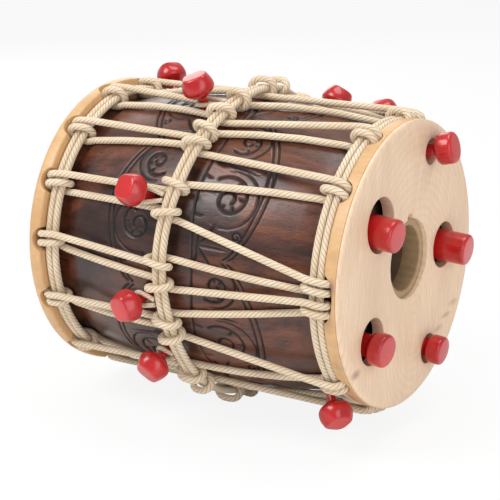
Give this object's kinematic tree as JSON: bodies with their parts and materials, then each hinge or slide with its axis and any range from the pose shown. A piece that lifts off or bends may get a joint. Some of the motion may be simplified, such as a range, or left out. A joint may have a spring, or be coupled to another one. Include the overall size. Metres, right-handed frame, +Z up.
{
  "type": "dhol",
  "caption": "Rope-laced barrel drum on its side, with a carved shell, wooden hoops and a holed end board with turning pegs.",
  "frame": {"origin": "under the middle of the drum's box, on the surface that it lies on", "axes": "+X along the drum's axis, towards the holed end board; +Z up; +Y to the drum's left seen from the hide end"},
  "size_m": [0.402, 0.3886, 0.3665],
  "materials": {
    "rosewood": "satin lacquer over carved rosewood",
    "pale_wood": "sanded, unlacquered",
    "honey_wood": "satin",
    "liner_wood": "turned, matt",
    "inner_wood": "raw",
    "rope": "three-strand laid rope",
    "red_lacquer": "glossy lacquer on turned wood",
    "ferrule_steel": "turned",
    "goat_hide": "raw hide",
    "cane": "split cane"
  },
  "bodies": {
    "drum": {"barrel": "rosewood", "end_board": "pale_wood", "ferrule_a": "ferrule_steel", "ferrule_b": "ferrule_steel", "ferrule_c": "ferrule_steel", "ferrule_d": "ferrule_steel", "ferrule_e": "ferrule_steel", "flesh_hoop": "cane", "hide_head": "goat_hide", "hub_liner": "liner_wood", "lacing": "rope", "left_hoop": "honey_wood", "left_ring_rope": "rope", "mid_ring_rope": "rope", "peg_board": "inner_wood", "peg_cord_1": "rope", "peg_cord_2": "rope", "peg_cord_3": "rope", "peg_cord_4": "rope", "peg_cord_6": "rope", "peg_cord_7": "rope", "peg_cord_8": "rope", "right_hoop": "honey_wood", "right_ring_rope": "rope", "shell_peg_1": "red_lacquer", "shell_peg_10": "red_lacquer", "shell_peg_2": "red_lacquer", "shell_peg_3": "red_lacquer", "shell_peg_4": "red_lacquer", "shell_peg_5": "red_lacquer", "shell_peg_6": "red_lacquer", "shell_peg_7": "red_lacquer", "shell_peg_8": "red_lacquer", "shell_peg_9": "red_lacquer"},
    "end_peg_a": {"peg_a": "red_lacquer"},
    "end_peg_b": {"peg_b": "red_lacquer"},
    "end_peg_c": {"peg_c": "red_lacquer"},
    "end_peg_d": {"peg_d": "red_lacquer"},
    "end_peg_e": {"peg_e": "red_lacquer"}
  },
  "joints": [
    {"name": "end_peg_a_turn", "type": "hinge", "parent": "drum", "child": "end_peg_a", "pos_m": [0.14096, -0.06999, 0.23059], "axis": [0.9967, -0.047, -0.0658], "continuous": true},
    {"name": "end_peg_b_turn", "type": "hinge", "parent": "drum", "child": "end_peg_b", "pos_m": [0.14096, -0.081, 0.11658], "axis": [0.9931, -0.0778, -0.0877], "continuous": true},
    {"name": "end_peg_c_turn", "type": "hinge", "parent": "drum", "child": "end_peg_c", "pos_m": [0.14096, 0.084, 0.18058], "axis": [0.997, 0.0345, -0.0687], "continuous": true},
    {"name": "end_peg_d_turn", "type": "hinge", "parent": "drum", "child": "end_peg_d", "pos_m": [0.14096, 0.04, 0.28209], "axis": [0.968, 0.1019, 0.2293], "continuous": true},
    {"name": "end_peg_e_turn", "type": "hinge", "parent": "drum", "child": "end_peg_e", "pos_m": [0.14096, 0.0465, 0.07857], "axis": [0.994, 0.0194, -0.1072], "continuous": true}
  ]
}
